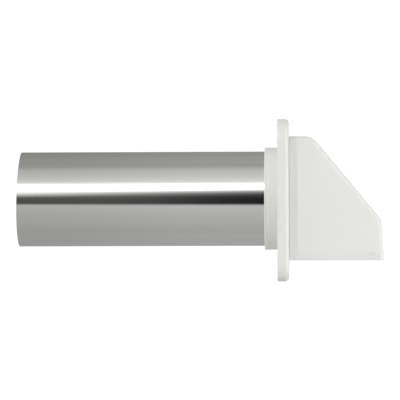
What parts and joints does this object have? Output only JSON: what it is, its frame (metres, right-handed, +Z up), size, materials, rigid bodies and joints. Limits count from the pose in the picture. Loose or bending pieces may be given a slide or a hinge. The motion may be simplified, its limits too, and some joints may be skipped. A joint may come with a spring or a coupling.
{
  "type": "wall exhaust vent with rigid duct pipe",
  "caption": "Round rigid aluminium duct pipe into a square white wall plate with a sloping wide-mouth hood, gravity backdraft damper and swing-down bird guard.",
  "frame": {"origin": "where the duct's axis meets the wall plane, which is the plate's back rim", "axes": "+X along the duct's axis, out of the wall towards the hood; +Z up; +Y completes the right-handed frame"},
  "size_m": [0.3907, 0.171, 0.171],
  "materials": {
    "aluminium_sheet": "lengthwise brushed, satin",
    "white_plastic": "moulded polypropylene, smooth satin",
    "steel": "zinc plated",
    "seal_foam": "closed-cell foam"
  },
  "bodies": {
    "vent_body": {"tail_pipe": "aluminium_sheet", "wall_plate": "white_plastic", "pipe_collar": "white_plastic", "hood_shell": "white_plastic", "hood_screw_1": "steel", "hood_screw_2": "steel", "hood_screw_3": "steel", "hood_screw_4": "steel", "hinge_pin": "steel", "pin_clip_left": "steel", "pin_clip_right": "steel"},
    "damper": {"damper_flap": "white_plastic", "damper_seal": "seal_foam"},
    "guard": {"bird_guard": "white_plastic"}
  },
  "joints": [
    {"name": "damper_hinge", "type": "hinge", "parent": "vent_body", "child": "damper", "pos_m": [0.0196, 0, 0.05849], "axis": [0, -1, 0], "range_deg": [0, 40]},
    {"name": "guard_hinge", "type": "hinge", "parent": "vent_body", "child": "guard", "pos_m": [0.0993, 0, -0.0604], "axis": [0, -1, 0], "range_deg": [0, 140]}
  ]
}
